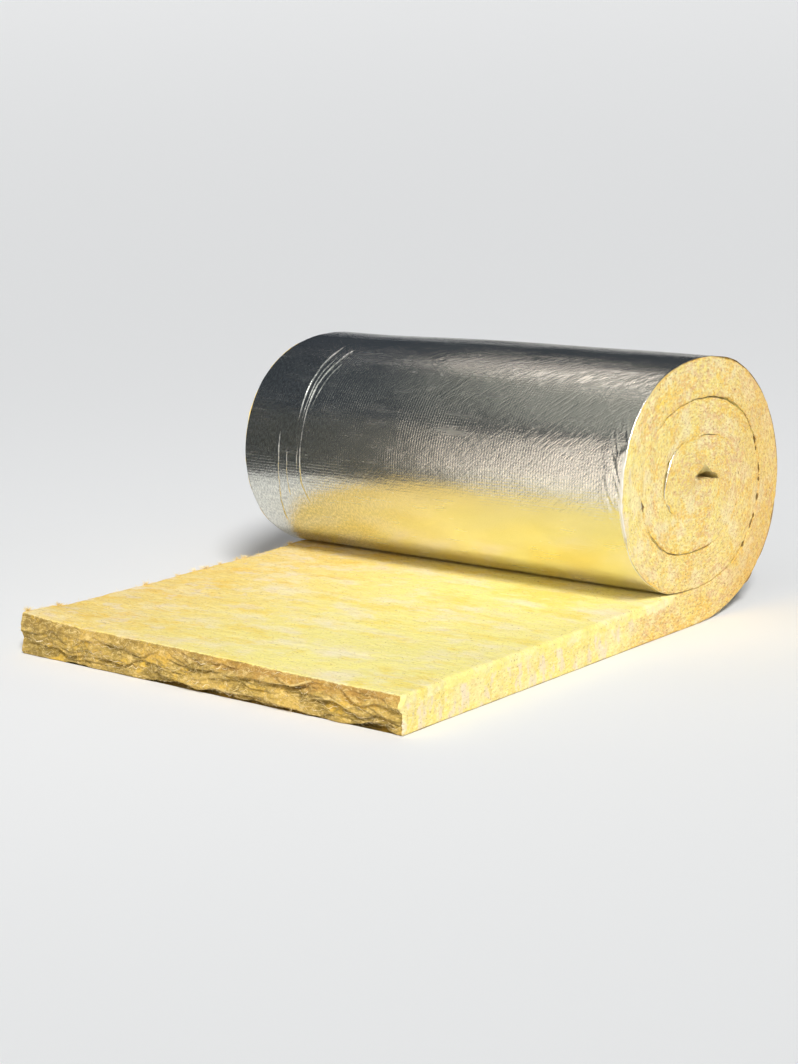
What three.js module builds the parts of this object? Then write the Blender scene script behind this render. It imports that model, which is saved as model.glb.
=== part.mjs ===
// An insulation roll: one length of mineral-wool blanket with an aluminium facing on its outer face,
// wound into a roll that lies on its side, with the free end run out flat along the floor.
//
// Millimetres, +Z up.  +X runs across the blanket, along the roll's axis.  +Y runs along the blanket
// from the free end towards the roll.  The origin is on the floor, under the middle of the part.
import * as THREE from 'three';

// --- driving dimensions -----------------------------------------------------------------------------
const blanketWidth = 1000; // across the blanket, which is the length of the roll
const woolThickness = 75; // nominal thickness of the mineral wool
const facingThickness = 0.5; // aluminium, scrim and kraft paper laminated together
const glueClearance = 0.3; // kept between the facing and the wool, so that the two never touch
const turnGap = 1.2; // looseness between the bare wool and the facing of the turn inside it
const flatLength = 940; // free end that lies flat, up to where the blanket lifts into the roll
const endEdgeRadius = 7; // the cut free end is pressed round along its top edge
const turnCount = 3.22; // turns from where the blanket lifts to its inner end
const coreHalfLong = 54.5; // core oval that the turns are wound about, half its length along Y
const coreHalfHigh = 12; // the same oval, half its height
const innerOffset = 30; // from the core oval to the facing at the inner end
const segmentsPerTurn = 72;

// The small hollow at the middle.  Its floor is the cut inner end of the blanket, which bulges past
// the facing, and its roof is the creased inner side of the first bend.
const endBulge = 0.04; // turns
const foldSwell = 20; // how far the wool swells past its nominal thickness to fill the fold
const foldHeight = 5; // height of the closed end of the hollow
const roofStart = 0.79; // turns before the inner end where the roof leaves the winding
const ridgeAt = 0.74; // turns before the inner end where the crease is highest
const ridgeRise = 11; // how far the crease is pressed up into the wool

// Places where a turn stands a little off the turn around it: the middle of each, in turns before
// the inner end, its length in turns, and how far the turn is pressed in there.
const openSeams = [
  { beforeEnd: 1.8, length: 0.2, depth: 2 },
  { beforeEnd: 1.36, length: 0.12, depth: 2.5 },
  { beforeEnd: 0.56, length: 0.24, depth: 9 },
  { beforeEnd: 0.39, length: 0.07, depth: 6 },
];

// --- the winding --------------------------------------------------------------------------------------
// Every turn is an oval offset from the same small core oval.  The offset shrinks by one pitch in
// each turn, so the facing of one turn always lies against the wool of the turn around it.
const pitch = facingThickness + glueClearance + woolThickness + turnGap;
const outerOffset = innerOffset + pitch * turnCount;
const centreY = flatLength;
const centreZ = outerOffset + coreHalfHigh;

// A point of the winding in (Y, Z), `turns` after the blanket lifts off the floor and `depth` in
// from the outer side of the facing.
function windingPoint(turns, depth) {
  const angle = (turns - 0.25) * 2 * Math.PI;
  const ny = Math.cos(angle);
  const nz = Math.sin(angle);
  const support = Math.hypot(coreHalfLong * ny, coreHalfHigh * nz);
  const offset = outerOffset - pitch * turns - depth;
  return new THREE.Vector2(
    centreY + ((coreHalfLong * coreHalfLong) / support + offset) * ny,
    centreZ + ((coreHalfHigh * coreHalfHigh) / support + offset) * nz,
  );
}

// How far a turn is pressed in, because the seam around it stands open there.
function seamOpening(turns) {
  let depth = 0;
  for (const seam of openSeams) {
    const along = Math.abs(turnCount - seam.beforeEnd - turns) / (seam.length / 2);
    if (along < 1) {
      depth += seam.depth * (1 - along) * (1 - along) * (1 + 2 * along);
    }
  }
  return depth;
}

// One side of the blanket from its free end to `lastTurn`, where `depthAt` gives the depth in from
// the unpressed outer side of the facing.
function blanketSide(lastTurn, depthAt) {
  const points = [new THREE.Vector2(0, depthAt(0))];
  const count = Math.round(lastTurn * segmentsPerTurn);
  for (let i = 0; i <= count; i += 1) {
    const turns = (lastTurn * i) / count;
    points.push(windingPoint(turns, depthAt(turns)));
  }
  return points;
}

// --- the two sections ---------------------------------------------------------------------------------
const woolOuterDepth = facingThickness + glueClearance;
const woolInnerDepth = woolOuterDepth + woolThickness;

// The facing is one thin ribbon under the free end and round every turn.
const facingOuter = blanketSide(turnCount, seamOpening);
const facingInner = blanketSide(turnCount, (turns) => seamOpening(turns) + facingThickness);
const facingSection = [...facingOuter, ...facingInner.reverse()];

// The wool's outer side follows the facing, and its inner side is free up to the hollow.
const woolOuter = blanketSide(turnCount, (turns) => seamOpening(turns) + woolOuterDepth);
const woolInner = blanketSide(turnCount - roofStart, () => woolInnerDepth);

const fold = windingPoint(turnCount, woolInnerDepth + foldSwell);
const hollowOutline = [
  windingPoint(turnCount + endBulge, woolOuterDepth),
  fold,
  new THREE.Vector2(fold.x, fold.y + foldHeight),
  windingPoint(turnCount - ridgeAt, woolInnerDepth - ridgeRise),
];

// The top edge of the free end, turned over in a quarter round.
const endRound = [];
for (let i = 0; i <= 4; i += 1) {
  const angle = (i / 4) * (Math.PI / 2);
  endRound.push(
    new THREE.Vector2(
      endEdgeRadius * (1 - Math.sin(angle)),
      woolInnerDepth - endEdgeRadius * (1 - Math.cos(angle)),
    ),
  );
}
const woolSection = [
  ...woolOuter,
  ...hollowOutline,
  ...woolInner.slice(1).reverse(),
  ...endRound,
];

// --- the pieces -----------------------------------------------------------------------------------------
// Each piece is its section in (Y, Z), carried straight across the width of the blanket.
function piece(name, section, material) {
  const geometry = new THREE.ExtrudeGeometry(new THREE.Shape(section), {
    depth: blanketWidth,
    steps: 1,
    bevelEnabled: false,
  });
  const mesh = new THREE.Mesh(geometry, new THREE.MeshStandardMaterial(material));
  mesh.name = name;
  return mesh;
}

const wool = piece('wool_blanket', woolSection, { color: 0xe6c766, roughness: 1, metalness: 0 });
const facing = piece('foil_facing', facingSection, { color: 0xa9abae, roughness: 0.35, metalness: 1 });

// The sections' own axes are turned to +Y and +Z, and the whole is centred over the origin.
const overallLength = Math.max(...facingOuter.map((point) => point.x));
const insulationRoll = new THREE.Group();
insulationRoll.name = 'insulation_roll';
insulationRoll.rotation.set(Math.PI / 2, Math.PI / 2, 0);
insulationRoll.position.set(-blanketWidth / 2, -overallLength / 2, 0);
insulationRoll.add(wool, facing);

export default insulationRoll;
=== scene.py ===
# %% [markdown]
# # Dressing a roll of insulation blanket
# The object is one long blanket of yellow mineral wool with a skin of aluminium foil on its outer
# face. It is wound into a roll, and its free end lies flat on the floor. The imported model already
# holds the true sizes and the winding. This script keeps that winding and dresses it with the two
# surfaces that people know such a roll by: torn, fibrous wool and creased foil.
#
# First the imported model is loaded. The box of its facing gives the blanket's width and length.

# %% Load the imported model
import itertools
import math

import bpy
import mathutils
import numpy as np
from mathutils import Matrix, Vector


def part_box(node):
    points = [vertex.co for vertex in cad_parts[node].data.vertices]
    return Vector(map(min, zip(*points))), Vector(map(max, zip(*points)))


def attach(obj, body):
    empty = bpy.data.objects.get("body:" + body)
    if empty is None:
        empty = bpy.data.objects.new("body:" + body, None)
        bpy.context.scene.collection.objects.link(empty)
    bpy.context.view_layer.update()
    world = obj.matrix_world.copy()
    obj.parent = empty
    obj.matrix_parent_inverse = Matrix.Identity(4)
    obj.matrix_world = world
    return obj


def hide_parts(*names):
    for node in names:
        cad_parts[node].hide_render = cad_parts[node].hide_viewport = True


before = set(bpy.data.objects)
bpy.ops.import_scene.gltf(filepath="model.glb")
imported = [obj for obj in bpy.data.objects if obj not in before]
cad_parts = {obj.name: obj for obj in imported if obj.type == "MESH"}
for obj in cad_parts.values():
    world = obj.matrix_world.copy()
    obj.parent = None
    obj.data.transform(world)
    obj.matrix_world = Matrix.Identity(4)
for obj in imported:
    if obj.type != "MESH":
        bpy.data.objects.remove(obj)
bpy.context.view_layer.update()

facing_low, facing_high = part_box("foil_facing")
width = facing_high[0] - facing_low[0]
overall_length = facing_high[1] - facing_low[1]
print(f"blanket {width:.3f} m wide, whole part {overall_length:.3f} m long")

# %% [markdown]
# ## The winding
# A wound blanket could be drawn by hand as a spiral curve, or simulated as cloth that rolls up.
# Here a formula is better, because the model's own solids were made with it: every turn is an oval
# at an offset from one small core oval, and the offset shrinks by one pitch in each turn. With the
# same few sizes the visible surfaces fall exactly on the solids.
#
# A place on the blanket is called its station. Below zero it is metres before the blanket lifts
# off the floor, and from zero on it is turns of the winding.

# %% Sizes of the blanket, in metres
flat_length = 0.940
wool_thickness = 0.075
facing_thickness = 0.0005
glue_clearance = 0.0003
turn_gap = 0.0012
turn_count = 3.22
core_half_long = 0.0545
core_half_high = 0.012
inner_offset = 0.030

# What follows from them: one turn with the next, places on the blanket, and the middle of the roll.
pitch = facing_thickness + glue_clearance + wool_thickness + turn_gap
outer_offset = inner_offset + pitch * turn_count
wool_outer_depth = facing_thickness + glue_clearance
wool_inner_depth = wool_outer_depth + wool_thickness
front_y = -overall_length / 2
centre_y = front_y + flat_length
centre_z = outer_offset + core_half_high
half_width = width / 2
print(f"middle of the roll at y {centre_y:.3f}, z {centre_z:.3f}; pitch {pitch * 1000:.1f} mm a turn")


# %% The winding's formula
def winding(turns, depth):
    """(y, z) on the winding, depth metres in from the outer side of the facing."""
    angle = (turns - 0.25) * 2 * np.pi
    ny, nz = np.cos(angle), np.sin(angle)
    support = np.hypot(core_half_long * ny, core_half_high * nz)
    offset = outer_offset - pitch * turns - depth
    y = centre_y + (core_half_long**2 / support + offset) * ny
    z = centre_z + (core_half_high**2 / support + offset) * nz
    return np.stack([y, z], axis=-1)


def blanket(station, depth):
    """(y, z) anywhere on the blanket, on its flat part or on the winding."""
    station, depth = np.broadcast_arrays(np.asarray(station, float), np.asarray(depth, float))
    flat = np.stack([centre_y + np.minimum(station, 0.0), depth], axis=-1)
    wound = winding(np.maximum(station, 0.0), depth)
    return np.where((station < 0)[..., None], flat, wound)


print(f"crown of the roll at z {winding(0.5, 0.0)[1]:.3f}")

# %% [markdown]
# Meshes look even when their points are evenly spaced, but turns aren't metres: an inner turn is
# much shorter than an outer one. So stations are read from a table of the length along the ribbon.

# %% Evenly spaced stations
dense_stations = np.concatenate([np.linspace(-flat_length, 0, 200)[:-1], np.linspace(0, 3.3, 4000)])
dense_steps = np.linalg.norm(np.diff(blanket(dense_stations, 0.0), axis=0), axis=1)
dense_lengths = np.concatenate([[0.0], np.cumsum(dense_steps)])


def length_at(station):
    """Metres along the facing from the free end to a station."""
    return np.interp(station, dense_stations, dense_lengths)


def stations_between(first, last, spacing):
    """Stations from first to last, about spacing metres apart along the facing."""
    start, stop = length_at(first), length_at(last)
    count = max(2, int(round((stop - start) / spacing)) + 1)
    return np.interp(np.linspace(start, stop, count), dense_lengths, dense_stations)


# %% [markdown]
# ## Random relief
# Wool and foil are never smooth. Blender's Displace modifier could roughen them, but it works along
# one direction at a time and can't follow torn layers or a seam. A small noise function over plain
# arrays of points gives full control, and always gives the same result for the same seed.

# %% Noise over arrays of points
def lattice(corners, seed):
    """A random number from -1 to 1 for each whole-number corner."""
    mixed = corners[:, 0] * 73856093 ^ corners[:, 1] * 19349663 ^ corners[:, 2] * 83492791
    mixed = (mixed ^ (seed * 2654435761)) & 0xFFFFFFFF
    mixed = ((mixed ^ (mixed >> 13)) * 1274126177) & 0xFFFFFFFF
    return ((mixed ^ (mixed >> 16)) & 0xFFFFFF) / 0x7FFFFF - 1.0


def noise(points, size, seed):
    """Smooth relief from -1 to 1, with lumps of the given size, alike or one for each axis."""
    scaled = points / np.asarray(size, float)
    corner = np.floor(scaled).astype(np.int64)
    part = scaled - corner
    part = part * part * (3 - 2 * part)
    total = np.zeros(len(points))
    for step in itertools.product((0, 1), repeat=3):
        weight = np.prod(np.where(step, part, 1 - part), axis=1)
        total += weight * lattice(corner + np.array(step), seed)
    return total


def rough(points, size, seed, octaves=3):
    """Noise with finer and finer lumps laid over it."""
    size = np.asarray(size, float)
    return sum(noise(points, size / 2**k, seed + 11 * k) / 1.9**k for k in range(octaves)) / 1.6


def smooth(value, start, stop):
    """0 before start, 1 after stop, and an even slope between them."""
    part = np.clip((value - start) / (stop - start), 0, 1)
    return part * part * (3 - 2 * part)


def points_of(*columns):
    """Columns of numbers as an array of points."""
    return np.stack(np.broadcast_arrays(*columns), axis=-1).reshape(-1, 3).astype(float)


print("noise at five places 0.3 apart:", noise(points_of(np.arange(5) * 0.3, 0, 0), 1.0, 1).round(2))

# %% [markdown]
# ## From grids to meshes
# Each surface of the blanket is a sheet bent in space: the top of the free end, the torn front, the
# two cut ends, and the lining of the seams. Every sheet is a grid of points. A grid keeps the mesh
# even and leaves the vertex order known, so that extra data, such as the place along the ribbon,
# is stored without a search.

# %% The quads of a grid
def grid_faces(rows, columns, start):
    """The quads of a grid whose points are numbered row by row from start."""
    index = start + np.arange(rows * columns).reshape(rows, columns)
    quads = [index[:-1, :-1], index[:-1, 1:], index[1:, 1:], index[1:, :-1]]
    return np.stack(quads, axis=-1).reshape(-1, 4)


print("a grid of 3 by 4 points has", len(grid_faces(3, 4, 0)), "quads")


# %% Join grids into one mesh object
def mesh_object(name, grids, flip=()):
    """One object from (rows, columns, 3) grids of points; flip lists those to be turned over."""
    points, faces, count = [], [], 0
    for number, grid in enumerate(grids):
        rows, columns = grid.shape[:2]
        quads = grid_faces(rows, columns, count)
        faces.append(quads[:, ::-1] if number in flip else quads)
        points.append(grid.reshape(-1, 3))
        count += rows * columns
    points, faces = np.concatenate(points), np.concatenate(faces)
    mesh = bpy.data.meshes.new(name)
    mesh.vertices.add(len(points))
    mesh.vertices.foreach_set("co", points.ravel())
    mesh.loops.add(faces.size)
    mesh.loops.foreach_set("vertex_index", faces.ravel())
    mesh.polygons.add(len(faces))
    mesh.polygons.foreach_set("loop_start", np.arange(0, faces.size, 4))
    mesh.polygons.foreach_set("use_smooth", np.ones(len(faces), bool))
    mesh.update(calc_edges=True)
    made = bpy.data.objects.new(name, mesh)
    bpy.context.scene.collection.objects.link(made)
    return made


# %% [markdown]
# A material has to know more about a place than where it is: how far along the ribbon it lies, or
# whether it is torn. A painted image or vertex groups could tell it. Attributes are used instead,
# because they hold any number for each vertex and need no unwrapping.

# %% Store data on a mesh, and hide the part that a piece replaces
def store(piece, name, values):
    """Keep one number or one vector for each vertex, for the materials to read."""
    kind = "FLOAT" if values.ndim == 1 else "FLOAT_VECTOR"
    field = "value" if values.ndim == 1 else "vector"
    layer = piece.data.attributes.new(name, kind, "POINT")
    layer.data.foreach_set(field, np.ascontiguousarray(values, np.float32).ravel())


def surface_of(piece):
    """The points and the outward normals of a finished mesh."""
    count = len(piece.data.vertices)
    points, normals = np.empty(count * 3), np.empty(count * 3)
    piece.data.vertices.foreach_get("co", points)
    piece.data.vertices.foreach_get("normal", normals)
    return points.reshape(-1, 3), normals.reshape(-1, 3)


def keep(piece, node):
    """The piece rides on the part, and the imported mesh of its node is hidden."""
    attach(piece, "root")
    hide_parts(node)
    print(f"{piece.name}: {sum(len(p.vertices) - 2 for p in piece.data.polygons)} triangles")


# %% [markdown]
# ## The wool
# Mineral wool is spun glass, laid down in thin layers and pressed. Where a blade or a tear crosses
# the layers they show as ledges, and everywhere else as a soft, matted face. Hair particles would
# be too heavy for a blanket this size, so the wool is one relief over the true solid, and only the
# fibres that stand clear of it are made singly.
#
# The relief is written as fields in space: one pushes the flat top up and down, one pushes the cut
# ends in and out, and one tears the front. Each depends only on the place, so two sheets that share
# an edge move it alike, and no crack opens between them.

# %% Relief of the top of the free end
top_z = wool_inner_depth
contact_y = centre_y - 0.11
# Shallow creases where the blanket was folded: middle x, y from the free end, half length, depth.
top_creases = [
    (-0.35, 0.335, 0.085, 0.0022),
    (-0.03, 0.125, 0.070, 0.0026),
    (0.28, 0.155, 0.090, 0.0022),
    (-0.12, 0.560, 0.120, 0.0014),
    (0.20, 0.420, 0.100, 0.0012),
]


def top_relief(x, y):
    """Metres that the top of the free end stands above its nominal height."""
    flat = points_of(x, y, 0.0)
    relief = 0.0020 * rough(flat, (0.26, 0.16, 1), 3) + 0.0010 * rough(flat, (0.05, 0.03, 1), 5)
    for middle, from_end, half_length, depth in top_creases:
        line_y = front_y + from_end + 0.006 * noise(flat, (0.07, 9, 1), 8) + 0.04 * (flat[:, 0] - middle)
        along = np.clip(1 - ((flat[:, 0] - middle) / half_length) ** 2, 0, 1)
        relief -= depth * along * np.exp(-(((flat[:, 1] - line_y) / 0.0035) ** 2))
    # The right front corner hangs a little, the front swells left of its middle, and the left
    # corner has sprung up.
    to_front = 1 - smooth(flat[:, 1], front_y, front_y + 0.22)
    relief -= 0.0015 * to_front * smooth(flat[:, 0], 0.10, half_width)
    relief += 0.0020 * to_front * np.exp(-(((flat[:, 0] + 0.22) / 0.16) ** 2))
    at_corner = 1 - smooth(flat[:, 1], front_y + 0.03, front_y + 0.14)
    relief += 0.0095 * at_corner * (1 - smooth(flat[:, 0], -half_width, -half_width + 0.20))
    # Under the roll the wool is pressed flat.
    return relief * (1 - smooth(flat[:, 1], contact_y - 0.06, contact_y))


print(f"{len(top_creases)} shallow creases on the free end, which is {top_z * 1000:.1f} mm high")

# %% [markdown]
# Two moves are shared with the foil, because the whole roll makes them. A round roll on a flat
# blanket would leave a thin wedge of air on both sides of the line where they touch. In a real one
# the wool swells up into that wedge and the roll sags into it. Over the top, where no weight lies on
# the outer turn, the wool springs up. A simulation of soft bodies could find both, but two small
# formulas are enough for a roll that lies still.

# %% Where the roll's weight closes the gap under it
under_places = winding(np.linspace(0.80, 1.0, 200), 0.0)[::-1]
ahead_of_lift = np.linspace(0.0, 0.20, 100)
under_gap = np.interp(ahead_of_lift, centre_y - under_places[:, 0], under_places[:, 1] - top_z)
print(f"air under the roll {under_gap[50] * 1000:.0f} mm high at {ahead_of_lift[50]:.2f} m from the lift")

# A little air is left in the gap, and both moves fade out between two distances ahead of the lift.
# The wool swells up into one share of the rest, and the roll sags into another.
gap_left = 0.0022
contact_fades = (0.095, 0.160)
share_of_swell, share_of_sag = 0.50, 0.42


def settle(y, z):
    """Metres that the blanket swells up, or the roll's underside sags, beside their contact."""
    ahead = centre_y - y
    gap = np.interp(ahead, ahead_of_lift, under_gap)
    closing = np.maximum(gap - gap_left, 0) * (1 - smooth(ahead, *contact_fades)) * (ahead > 0)
    swell = share_of_swell * closing * smooth(z, 0.02, top_z)
    sag = share_of_sag * closing * (1 - smooth(z - (top_z + gap), 0.0, 0.05))
    return np.where(z < top_z + 0.0006, swell, -sag)


# %% Where the roll's crown stands higher
crown_z = winding(0.5, 0.0)[1]
crown_rise = 0.0062


def crown_lift(x, z):
    """The outer turn is loosest over the top, where the wool has swelled, most at the near end."""
    return crown_rise * smooth(x, -0.42, -0.02) * smooth(z, crown_z - 0.085, crown_z - 0.010)


print(f"the crown rises from z {crown_z:.3f} to {crown_z + crown_lift(half_width, crown_z):.3f}")

# %% [markdown]
# A blade crosses the layers at the two ends, so they are nearly flat, with shallow waves. The front
# was torn by hand: each layer breaks where it likes, stands out over the next one and hangs down
# like a lip. Noise alone makes lumps and never a lip. So the height is divided into layers whose
# edges wander, and each layer draws its own reach from the noise.

# %% Relief of the cut ends
def end_relief(y, z, side):
    """Metres that a cut end stands out; side is -1 or 1."""
    flat = points_of(side * 3.0, y, z)
    waves = 0.0022 * rough(flat, 0.11, 21, 2) + 0.0012 * rough(flat, 0.032, 23, 2)
    # The free end was cut downwards, which left furrows.
    on_tail = (flat[:, 1] < contact_y) * smooth(flat[:, 2], 0.0, 0.02)
    furrows = 0.0016 * on_tail * rough(flat, (1, 0.016, 0.055), 25, 2)
    return waves + furrows + 0.0006 * rough(flat, 0.011, 27, 2)


sampled_places = np.meshgrid(np.linspace(front_y, centre_y, 60), np.linspace(0, crown_z, 40))
end_sample = end_relief(*sampled_places, 1) * 1000
print(f"relief of a cut end: {end_sample.min():.1f} to {end_sample.max():.1f} mm")


# %% Layers that break off one by one
def ledges(x, z, height, reach, seed):
    """Torn layers of about one height. Each stands out most at its lower edge and hangs over the next.

    Returns how far they stand out, where their lips are, and where the hollows under the lips are.
    """
    flat = points_of(x, 0.0, z)
    bend = 0.020 * noise(flat, (0.15, 1, 0.06), seed) + 0.013 * noise(flat, (0.050, 1, 0.03), seed + 1)
    level = (flat[:, 2] + bend) / height
    layer = np.floor(level)
    part = level - layer

    def torn(number):
        """How far each layer stands out along the front, by its number."""
        slow = noise(points_of(flat[:, 0], number * 9.7, 0), (7 * height, 1, 1), seed + 2)
        quick = noise(points_of(flat[:, 0], number * 5.3, 1), (1.6 * height, 1, 1), seed + 3)
        return 0.7 * slow + 0.35 * quick

    below, own, above = torn(layer - 1), torn(layer), torn(layer + 1)
    step = smooth(part, 0.0, 0.16)
    stands_out = below * (1 - step) + own * step + 0.55 * (1 - part) * step
    lip = np.exp(-(((part - 0.17) / 0.10) ** 2)) * np.clip((own - below) * 1.2 + 0.35, 0, 1)
    hollow = smooth(part, 0.62, 0.98) * np.clip((above - own) * 1.2 + 0.35, 0, 1)
    return stands_out * reach, lip, hollow


# %% Relief of the torn front
# Two sizes of layer: how high each is, and how far it can stand out.
shelf_height, shelf_reach = 0.027, 0.0100
layer_height, layer_reach = 0.0110, 0.0050


def front_relief(x, z):
    """How far the torn front stands out, with its lips and hollows; pressed layers tear unevenly."""
    flat = points_of(x, 0.0, z)
    right_part = 0.35 + 0.65 * smooth(flat[:, 0], -0.25, 0.15)
    shelves, lip, hollow = ledges(x, z, shelf_height, shelf_reach, 31)
    layers, small_lip, small_hollow = ledges(x, z, layer_height, layer_reach, 35)
    broken = np.clip(0.5 + 1.6 * noise(flat, (0.06, 1, 0.02), 37), 0, 1) * right_part
    shelves, lip, hollow = shelves * (0.35 + 0.65 * right_part), lip * broken, hollow * broken
    tufts = 0.0014 * rough(flat, (0.016, 1, 0.011), 39, 2)
    bow = 0.003 * (1 - (flat[:, 0] / half_width) ** 2)
    under_lip = 0.20 + 0.80 * smooth(top_z - flat[:, 2], 0.003, 0.020)
    relief = (shelves + layers + tufts) * under_lip + bow
    return relief, np.maximum(lip, 0.60 * small_lip), np.maximum(hollow, 0.45 * small_hollow)


front_places = np.meshgrid(np.linspace(-half_width, half_width, 80), np.linspace(0.002, top_z, 20))
front_sample = front_relief(*front_places)[0] * 1000
print(f"relief of the torn front: {front_sample.min():.1f} to {front_sample.max():.1f} mm")

# %% All fields together
facing_bridges = 0.15


def roughen(points):
    """Moves points of the plain wool by the relief of the faces that they lie on or near."""
    x, y, z = points[:, 0], points[:, 1], points[:, 2]
    moved = points.copy()
    on_flat = (y < contact_y + 0.03) & (z < top_z + 0.012)
    moved[:, 2] += top_relief(x, y) * on_flat * smooth(z, 0.02, top_z) + settle(y, z)
    # Away from the ends the facing bridges a little over the wool, so the wool rises less.
    inward = smooth(half_width - np.abs(x), 0.01, 0.04)
    moved[:, 2] += crown_lift(x, z) * (1 - facing_bridges * inward)
    side = np.where(x < 0, -1.0, 1.0)
    to_end = smooth(np.abs(x), half_width - 0.03, half_width - 0.004)
    moved[:, 0] += side * end_relief(y, z, side) * to_end
    to_front = 1 - smooth(y, front_y + 0.004, front_y + 0.035)
    on_tail = (z < top_z + 0.01) & (y < contact_y)
    fade = smooth(z, -0.004, 0.012) * 0.75 + 0.25
    moved[:, 1] -= front_relief(x, z)[0] * to_front * fade * on_tail
    return moved


# %% [markdown]
# The lips of open seams and the nicks in them are also darkened in the wool's colour, as painted shade.
# The end of the roll is a spiral band. Its grid runs along the ribbon one way and from the facing
# to the bare side the other way. Near its borders it turns inward in a quarter round, as pressed
# wool does, and how far it turns changes along the seam. That is why a seam shows as a dark line
# in one place and closes up in another. A seam also wanders off the true spiral by a millimetre,
# with the wool on both sides of it and the facing between them, and here and there a nick is torn
# out of its lips.
#
# At the middle the blanket's bare side can't bend any tighter. It folds, and the fold leaves a
# small three-cornered hollow above the blanket's cut inner end.

# %% The inner side of the blanket, hollow included
end_bulge = 0.04
fold_swell = 0.020
fold_height = 0.005
roof_start = turn_count - 0.79
ridge_at = turn_count - 0.74
ridge_rise = 0.017
last_station = turn_count + end_bulge

fold = winding(turn_count, wool_inner_depth + fold_swell)
ridge = winding(ridge_at, wool_inner_depth - ridge_rise)
fold_top = fold + np.array([0.0, fold_height])
print("the blanket's bare side folds at y, z", fold.round(3), "below a ridge at", ridge.round(3))

# %% Where a turn is pressed in, and how the seams stray
# Places where a turn stands off the turn around it: turns before the end, length in turns, depth.
open_seams = [(1.80, 0.20, 0.0020), (1.36, 0.12, 0.0025), (0.56, 0.24, 0.0090), (0.39, 0.07, 0.0060)]


def seam_opening(station):
    """How far a turn is pressed in where the seam around it stands open."""
    depth = np.zeros_like(np.asarray(station, float))
    for before_end, length, most in open_seams:
        along = np.clip(np.abs(turn_count - before_end - station) / (length / 2), 0, 1)
        depth += most * (1 - along) ** 2 * (1 + 2 * along)
    return depth


def seam_wander(seam):
    """How far a seam strays from the winding: both turns beside it and the facing follow it."""
    seam = np.asarray(seam, float)
    stray = 0.0013 * rough(points_of(length_at(seam), 3.0, 0.0), (0.022, 1, 1), 49, 3)
    return stray * smooth(seam, 1.02, 1.06) * (1 - smooth(seam, last_station - 0.15, last_station - 0.05))


# %% The two sides of the wool
def outer_side(station):
    """The side of the wool that the facing is glued to."""
    depth = seam_opening(station) + seam_wander(station)
    return blanket(station, depth + wool_outer_depth)


def inner_side(station):
    """The bare side of the wool, which ends in the roof and the fold of the hollow."""
    plain = blanket(np.minimum(station, roof_start), wool_inner_depth + seam_wander(station + 1))
    shoulder = winding(roof_start, wool_inner_depth)
    corners = [roof_start, ridge_at, turn_count - 0.60, turn_count - 0.47, last_station]
    path = np.array([shoulder, ridge, fold_top, fold, fold])
    hollow = np.stack([np.interp(station, corners, path[:, k]) for k in (0, 1)], axis=-1)
    return np.where((station > roof_start)[:, None], hollow, plain)


# %% Where the seams are shut
# A seam is numbered by the station of its inner turn. It stands open from and to these stations.
open_stretches = [
    (0.90, 1.13),
    (1.148, 1.162),
    (1.186, 1.200),
    (1.222, 1.236),
    (1.256, 1.270),
    (1.29, 1.60),
    (1.75, 1.78),
    (1.86, 2.03),
    (2.46, 2.48),
    (2.54, 2.765),
    (2.81, 2.875),
]


def shut(station):
    """1 where the wool on both sides of a seam has swollen together, 0 where the seam is open."""
    wavy = station + 0.012 * noise(points_of(length_at(station), 0, 0), (0.03, 1, 1), 41)
    opened = np.zeros_like(wavy)
    for first, last in open_stretches:
        ends = smooth(wavy, first - 0.015, first + 0.01) * (1 - smooth(wavy, last - 0.01, last + 0.015))
        opened = np.maximum(opened, ends)
    return (1 - opened) * smooth(station, 0.99, 1.01)


# %% Nicks in the lips of the seams
# Where each is, and how far it reaches to each side, in turns.
nicks = [
    (1.108, 0.007),
    (1.147, 0.013),
    (1.163, 0.006),
    (1.196, 0.010),
    (1.228, 0.006),
    (1.247, 0.014),
    (1.286, 0.009),
    (1.304, 0.013),
    (1.765, 0.012),
    (2.155, 0.008),
    (2.250, 0.010),
]


def nick(station):
    """1 in the middle of a nick, 0 away from it."""
    each = [np.clip(1 - np.abs(station - place) / reach, 0, 1) for place, reach in nicks]
    return np.max(each, axis=0)


print(len(nicks), "nicks,", len(open_stretches), "open stretches of seam")


# %% How round the wool's edges are
def edge_round(station, bare_side):
    """Radius of the edge between a cut end and the blanket's outer or bare side."""
    place = points_of(length_at(station), 40.0 * bare_side, 0.0)
    loose = 0.0020 + 0.0036 * np.clip(rough(place, (0.026, 1, 1), 43, 4), -0.5, 1)
    shut_here = shut(station + bare_side)
    loose = loose * (1 - shut_here) + 0.0005 * shut_here + 0.0050 * nick(station + bare_side)
    open_edge = 0.0085 + 0.0035 * rough(place, (0.045, 1, 1), 44) if bare_side else 0.0022
    on_tail = 1 - smooth(station, -0.12, -0.04)
    return loose * (1 - on_tail) + open_edge * on_tail


print(f"the free end's bare edge is rounded by {edge_round(np.array([-0.5]), 1)[0] * 1000:.1f} mm")

# %% The torn front's profile
end_edge_radius = 0.005


def front_profile(z):
    """How far the front's rounded top edge lies behind the front plane."""
    into = np.clip((z - (top_z - end_edge_radius)) / end_edge_radius, 0, 1)
    return end_edge_radius * (1 - np.sqrt(1 - into**2))


# %% The band of wool between two seams
def band(station):
    """The wool's outer and bare side on a cut end, as (y, z) at each station."""
    outer, inner = outer_side(station), inner_side(station)
    # Where a seam is shut, the wool swells over the edge of the facing and into the gap.
    swell = 0.0011 * smooth(last_station - station, 0.0, 0.05)
    across = (inner - outer) / np.linalg.norm(inner - outer, axis=1, keepdims=True)
    outer = outer - across * (swell * shut(station))[:, None]
    inner = inner + across * (swell * shut(station + 1) * (station < roof_start))[:, None]
    return outer, inner


quarter_steps = np.array([0, 0.1, 0.34, 0.7, 1.0])
flat_steps = np.linspace(0, 1, 17)[1:-1]


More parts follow.
